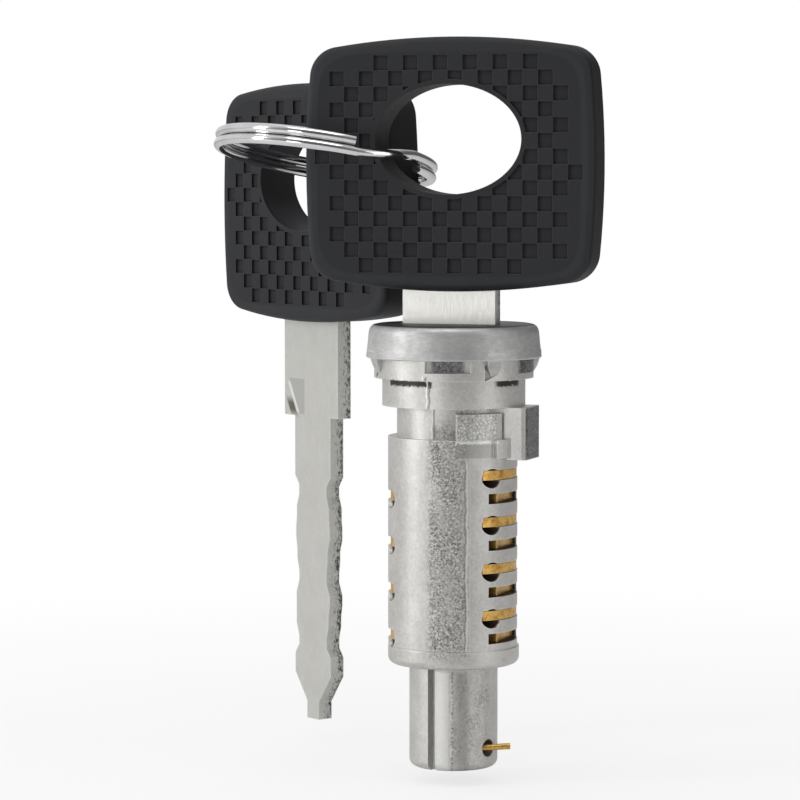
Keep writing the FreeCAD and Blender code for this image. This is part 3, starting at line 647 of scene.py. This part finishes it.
def bow_finish(colours, name, centre, turn):
    """Matte black moulding, paler on the plain border, with painted shade in the sunk squares and
    on its right side, and a painted highlight along its edges.
    """
    nodes = Nodes(name)
    base = tuple(colours.bow)
    across, depth, up = nodes.own_axes(centre, turn)
    fine = nodes.noise(0.12 * MM, 3, 0.6)
    broad = nodes.noise(7 * MM, 3)
    cloud = nodes.ramp(broad, [(0.35, 0.0), (0.7, 1.0)])
    tone = nodes.mix(cloud, scaled(base, 1.7), scaled(base, 2.3))
    grip = grip_region(nodes, across, up)
    tone = nodes.lay(tone, scaled(base, 1.3), grip, 0.85)
    thick = nodes.maths("ABSOLUTE", depth)
    # painted shade in the sunk squares, on their floors, in their corners by ambient occlusion
    # and on their walls
    sunk = nodes.all_of(grip, nodes.between(thick, *PIT_FLOOR))
    tone = nodes.lay(tone, scaled(base, 0.9), sunk, 0.6)
    hollow = nodes.add("ShaderNodeAmbientOcclusion", samples=6)
    hollow.inputs["Distance"].default_value = 0.45 * MM
    corner = nodes.ramp(hollow.outputs["AO"], [(0.62, 0.85), (0.86, 0.0)])
    tone = nodes.lay(tone, scaled(base, 0.12), nodes.all_of(grip, corner))
    wall = nodes.all_of(grip, nodes.between(thick, *PIT_WALL))
    tone = nodes.lay(tone, scaled(base, 0.2), wall, 0.9)
    tone = nodes.lay(tone, (0.09, 0.09, 0.095), nodes.ramp(fine, [(0.70, 0.0), (0.80, 0.5)]))
    # painted shade on the bow's right side
    flank = nodes.between(nodes.facing(turn), 0.8, 2, 0.15)
    tone = nodes.lay(tone, scaled(base, 0.5), flank, 0.85)
    # painted highlight along the bow's edges
    tone = nodes.lay(tone, (0.06, 0.06, 0.065), nodes.edges(0.16 * MM))
    rough = nodes.ramp(broad, [(0.3, 0.55), (0.7, 0.66)])
    nodes.bump(fine, 0.02 * MM, 0.5, 0.12 * MM)
    nodes.shader.inputs["Specular IOR Level"].default_value = 0.28
    return nodes.finish(tone, rough, 0.0)


def ring_finish(colours):
    """Polished plate, a little clouded."""
    nodes = Nodes("ring_chrome")
    base = tuple(colours.ring)
    fine = nodes.noise(0.25 * MM, 4)
    broad = nodes.noise(4 * MM, 3)
    tone = nodes.mix(nodes.ramp(broad, [(0.4, 0.0), (0.7, 0.5)]), base, scaled(base, 0.7))
    rough = nodes.ramp(fine, [(0.3, 0.05), (0.7, 0.14)])
    nodes.bump(fine, 0.004 * MM, 0.3)
    return nodes.finish(tone, rough, 1.0)


def coat(thing, material):
    """Gives a piece or a node one finish."""
    thing.data.materials.clear()
    thing.data.materials.append(material)


def dress(node, material):
    """Puts a finish on a node that keeps its CAD shape."""
    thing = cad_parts[node]
    for slot in thing.material_slots:
        slot.material = material
    if not thing.material_slots:
        thing.data.materials.append(material)


def piece_from(mesh_data, name, body, node, material):
    """An object of its own that stands for a node."""
    piece = bpy.data.objects.new(name, mesh_data)
    bpy.context.scene.collection.objects.link(piece)
    coat(piece, material)
    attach(piece, body)
    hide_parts(node)


def welded(mesh, name):
    """Writes a bmesh to mesh data with outward faces and soft curves."""
    bmesh.ops.remove_doubles(mesh, verts=mesh.verts, dist=1e-7)
    bmesh.ops.recalc_face_normals(mesh, faces=mesh.faces)
    data = bpy.data.meshes.new(name)
    mesh.to_mesh(data)
    mesh.free()
    data.shade_smooth()
    data.set_sharp_from_angle(angle=math.radians(SHARP_ANGLE))
    return data


def ring_of(mesh, profile, steps):
    """Turns a closed profile of (radius, height) in millimetres about the lock's axis."""
    points = [mesh.verts.new((radius * MM, 0, height * MM)) for radius, height in profile]
    lines = [mesh.edges.new((a, b)) for a, b in zip(points, points[1:] + points[:1])]
    bmesh.ops.spin(
        mesh,
        geom=points + lines,
        cent=(0, 0, 0),
        axis=(0, 0, 1),
        angle=2 * math.pi,
        steps=steps,
        use_merge=True,
    )


def less(data, low, high):
    """Mesh data with a box, given by its low and its high corner, taken out of it."""
    body = bpy.data.objects.new("cut_body", data)
    bpy.context.scene.collection.objects.link(body)
    size = Vector(high) - Vector(low)
    middle = (Vector(high) + Vector(low)) / 2
    matrix = Matrix.Translation(middle * MM) @ Matrix.Diagonal((*(size * MM), 1))
    box = bmesh.new()
    bmesh.ops.create_cube(box, size=1, matrix=matrix)
    box_data = bpy.data.meshes.new("cut_box")
    box.to_mesh(box_data)
    box.free()
    cutter = bpy.data.objects.new("cut_box", box_data)
    bpy.context.scene.collection.objects.link(cutter)
    step = body.modifiers.new("cut", "BOOLEAN")
    step.object = cutter
    step.operation = "DIFFERENCE"
    step.solver = "EXACT"
    seen = body.evaluated_get(bpy.context.evaluated_depsgraph_get())
    result = bpy.data.meshes.new_from_object(seen)
    bpy.data.objects.remove(body)
    bpy.data.objects.remove(cutter)
    result.set_sharp_from_angle(angle=math.radians(SHARP_ANGLE))
    return result


def crimp(mesh, turn):
    """One tongue of the cap's skirt, pressed down into its notch in the collar."""
    spin = Matrix.Rotation(math.radians(turn), 4, "Z")
    front = []
    for radius, side, height in CRIMP_CORNERS:
        front.append(mesh.verts.new(spin @ Vector((radius, side, height)) * MM))
    face = mesh.faces.new(front)
    made = bmesh.ops.extrude_face_region(mesh, geom=[face])
    inner = [item for item in made["geom"] if isinstance(item, bmesh.types.BMVert)]
    bmesh.ops.translate(mesh, verts=inner, vec=(spin @ Vector((-CRIMP_THICK, 0, 0))) * MM)


class LOCK_OT_casting(bpy.types.Operator):
    """Finish the die-cast cylinder body"""

    bl_idname = "lock.casting"
    bl_label = "Cylinder casting"

    def execute(self, context):
        scene = context.scene
        dress("cylinder_body", casting_finish(scene.lock_colours, scene.lock_sizes))
        return {"FINISHED"}


class LOCK_OT_cap(bpy.types.Operator):
    """Make the pressed cap over the face, with its flared skirt and its crimps"""

    bl_idname = "lock.cap"
    bl_label = "Face cap"

    def execute(self, context):
        scene = context.scene
        shell = bmesh.new()
        ring_of(shell, CAP_PROFILE, CAP_STEPS)
        skirt = less(welded(shell, "cap_shell"), *CAP_SLOT)
        whole = bmesh.new()
        whole.from_mesh(skirt)
        for number in range(CRIMPS):
            crimp(whole, CRIMP_FIRST + number * CRIMP_PITCH)
        data = welded(whole, "cap_pressing")
        finish = cap_finish(scene.lock_colours, scene.lock_sizes)
        piece_from(data, "cap_pressing", "cylinder", "face_cap", finish)
        return {"FINISHED"}


class LOCK_OT_wafers(bpy.types.Operator):
    """Finish the brass wafers, their springs and the clip in the tail"""

    bl_idname = "lock.wafers"
    bl_label = "Wafers, springs and clip"

    def execute(self, context):
        scene = context.scene
        brass = brass_finish(scene.lock_colours, "wafer_brass")
        steel = spring_finish()
        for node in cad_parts:
            if node.startswith("wafer_spring"):
                dress(node, steel)
            elif node.startswith("wafer"):
                dress(node, brass)
        dress("tail_clip", brass_finish(scene.lock_colours, "clip_brass"))
        return {"FINISHED"}


class LOCK_OT_blades(bpy.types.Operator):
    """Finish the two key blades"""

    bl_idname = "lock.blades"
    bl_label = "Key blades"

    def execute(self, context):
        colours = context.scene.lock_colours
        for node, name, turn, metallic, bright in BLADES:
            dress(node, nickel_finish(colours, name, node, turn, metallic, bright))
        return {"FINISHED"}


class LOCK_OT_bows(bpy.types.Operator):
    """Finish the two moulded key bows"""

    bl_idname = "lock.bows"
    bl_label = "Key bows"

    def execute(self, context):
        colours = context.scene.lock_colours
        for node, name, turn in BOWS:
            low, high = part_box(node)
            dress(node, bow_finish(colours, name, (low + high) / 2, turn))
        return {"FINISHED"}


class LOCK_OT_ring(bpy.types.Operator):
    """Finish the two-turn split ring"""

    bl_idname = "lock.ring"
    bl_label = "Split ring"

    def execute(self, context):
        dress("split_ring", ring_finish(context.scene.lock_colours))
        return {"FINISHED"}


def area_lamp(name, place, target, width, height, power):
    """A soft box lamp aimed at a point."""
    data = bpy.data.lights.new(name, "AREA")
    data.shape = "RECTANGLE"
    data.size = width
    data.size_y = height
    data.energy = power
    lamp = bpy.data.objects.new(name, data)
    lamp.location = place
    lamp.rotation_euler = (Vector(target) - Vector(place)).to_track_quat("-Z", "Y").to_euler()
    bpy.context.scene.collection.objects.link(lamp)


def white_when_seen(tree):
    """1 for the rays that see the surround itself, from the camera or through glass."""
    path = tree.nodes.new("ShaderNodeLightPath")
    seen = tree.nodes.new("ShaderNodeMath")
    seen.operation = "MAXIMUM"
    tree.links.new(path.outputs["Is Camera Ray"], seen.inputs[0])
    tree.links.new(path.outputs["Is Transmission Ray"], seen.inputs[1])
    return seen.outputs[0]


def grey_ramp(tree, value, stops):
    """A smooth ramp of greys over (position, grey) stops."""
    node = tree.nodes.new("ShaderNodeValToRGB")
    node.color_ramp.interpolation = "EASE"
    while len(node.color_ramp.elements) < len(stops):
        node.color_ramp.elements.new(0.5)
    for element, (position, grey) in zip(node.color_ramp.elements, stops):
        element.position = position
        element.color = (grey, grey, grey, 1)
    tree.links.new(value, node.inputs["Fac"])
    return node.outputs["Color"]


def studio_world(scene):
    """A white room with a darker front, so that metal shows long bands of light and shade."""
    world = bpy.data.worlds.new("studio")
    world.use_nodes = True
    scene.world = world
    tree = world.node_tree
    background = tree.nodes["Background"]
    place = tree.nodes.new("ShaderNodeTexCoord")
    front = tree.nodes.new("ShaderNodeVectorMath")
    front.operation = "DOT_PRODUCT"
    front.inputs[1].default_value = FRONT
    tree.links.new(place.outputs["Generated"], front.inputs[0])
    shade = grey_ramp(tree, front.outputs["Value"], ROOM_SHADES)
    flag = tree.nodes.new("ShaderNodeVectorMath")
    flag.operation = "DOT_PRODUCT"
    flag.inputs[1].default_value = FLAG
    tree.links.new(place.outputs["Generated"], flag.inputs[0])
    flagged = tree.nodes.new("ShaderNodeVectorMath")
    flagged.operation = "MULTIPLY"
    tree.links.new(shade, flagged.inputs[0])
    tree.links.new(grey_ramp(tree, flag.outputs["Value"], FLAG_SHADES), flagged.inputs[1])
    mix = tree.nodes.new("ShaderNodeMix")
    mix.data_type = "RGBA"
    tree.links.new(white_when_seen(tree), mix.inputs[0])
    tree.links.new(flagged.outputs["Vector"], mix.inputs[6])
    mix.inputs[7].default_value = (1, 1, 1, 1)
    tree.links.new(mix.outputs[2], background.inputs["Color"])
    background.inputs["Strength"].default_value = 1.0


def floor_finish():
    """A pale floor: white far off, with the object's soft shadow near it."""
    material = bpy.data.materials.new("pale_floor")
    material.use_nodes = True
    tree = material.node_tree
    matt = tree.nodes["Principled BSDF"]
    matt.inputs["Base Color"].default_value = (0.85, 0.85, 0.85, 1)
    matt.inputs["Roughness"].default_value = 0.8
    glow = tree.nodes.new("ShaderNodeEmission")
    place = tree.nodes.new("ShaderNodeTexCoord")
    reach = tree.nodes.new("ShaderNodeVectorMath")
    reach.operation = "LENGTH"
    tree.links.new(place.outputs["Object"], reach.inputs[0])
    far = grey_ramp(tree, reach.outputs["Value"], FLOOR_SHADES)
    share = tree.nodes.new("ShaderNodeMath")
    share.operation = "MULTIPLY"
    tree.links.new(white_when_seen(tree), share.inputs[0])
    tree.links.new(far, share.inputs[1])
    both = tree.nodes.new("ShaderNodeMixShader")
    tree.links.new(share.outputs[0], both.inputs["Fac"])
    tree.links.new(matt.outputs[0], both.inputs[1])
    tree.links.new(glow.outputs[0], both.inputs[2])
    tree.links.new(both.outputs[0], tree.nodes["Material Output"].inputs["Surface"])
    return material


class LOCK_OT_stage(bpy.types.Operator):
    """Make the pale floor, the studio light and the camera"""

    bl_idname = "lock.stage"
    bl_label = "Floor, light and camera"

    def execute(self, context):
        scene = context.scene
        lowest = cad_box[0][2]
        mesh = bmesh.new()
        bmesh.ops.create_grid(mesh, x_segments=1, y_segments=1, size=FLOOR_HALF)
        data = bpy.data.meshes.new("floor")
        bmesh.ops.translate(mesh, verts=mesh.verts, vec=(0, 0, lowest - FLOOR_GAP))
        mesh.to_mesh(data)
        mesh.free()
        floor = bpy.data.objects.new("floor", data)
        scene.collection.objects.link(floor)
        coat(floor, floor_finish())
        studio_world(scene)
        for lamp in LAMPS:
            area_lamp(*lamp)

        camera_data = bpy.data.cameras.new("camera")
        camera_data.lens = CAMERA_LENS
        camera_data.sensor_width = SENSOR_WIDTH
        camera = bpy.data.objects.new("camera", camera_data)
        place = Vector(CAMERA_PLACE) * MM
        target = Vector(CAMERA_AIM) * MM
        camera.location = place
        camera.rotation_euler = (target - place).to_track_quat("-Z", "Y").to_euler()
        camera_data.clip_start = 0.01
        scene.collection.objects.link(camera)
        scene.camera = camera
        scene.view_settings.view_transform = "Standard"
        return {"FINISHED"}


OPERATORS = (
    LOCK_OT_casting,
    LOCK_OT_cap,
    LOCK_OT_wafers,
    LOCK_OT_blades,
    LOCK_OT_bows,
    LOCK_OT_ring,
    LOCK_OT_stage,
)


class LOCK_PT_panel(bpy.types.Panel):
    """Lists the lock's pieces and its sizes and colours"""

    bl_idname = "LOCK_PT_panel"
    bl_label = "Door lock cylinder"
    bl_space_type = "VIEW_3D"
    bl_region_type = "UI"
    bl_category = "Lock"

    def draw(self, context):
        for group in (context.scene.lock_sizes, context.scene.lock_colours):
            for name in group.__annotations__:
                self.layout.prop(group, name)
        for operator in OPERATORS:
            self.layout.operator(operator.bl_idname)


CLASSES = (LockSizes, LockColours) + OPERATORS + (LOCK_PT_panel,)


def register():
    """Makes the operators, the panel and the settings known."""
    for cls in CLASSES:
        bpy.utils.register_class(cls)
    bpy.types.Scene.lock_sizes = bpy.props.PointerProperty(type=LockSizes)
    bpy.types.Scene.lock_colours = bpy.props.PointerProperty(type=LockColours)


def unregister():
    """Takes them away again."""
    del bpy.types.Scene.lock_colours
    del bpy.types.Scene.lock_sizes
    for cls in reversed(CLASSES):
        bpy.utils.unregister_class(cls)


def main():
    """Makes every piece and the stage."""
    register()
    for operator in OPERATORS:
        group, name = operator.bl_idname.split(".")
        getattr(getattr(bpy.ops, group), name)()


if __name__ == "__main__":
    main()
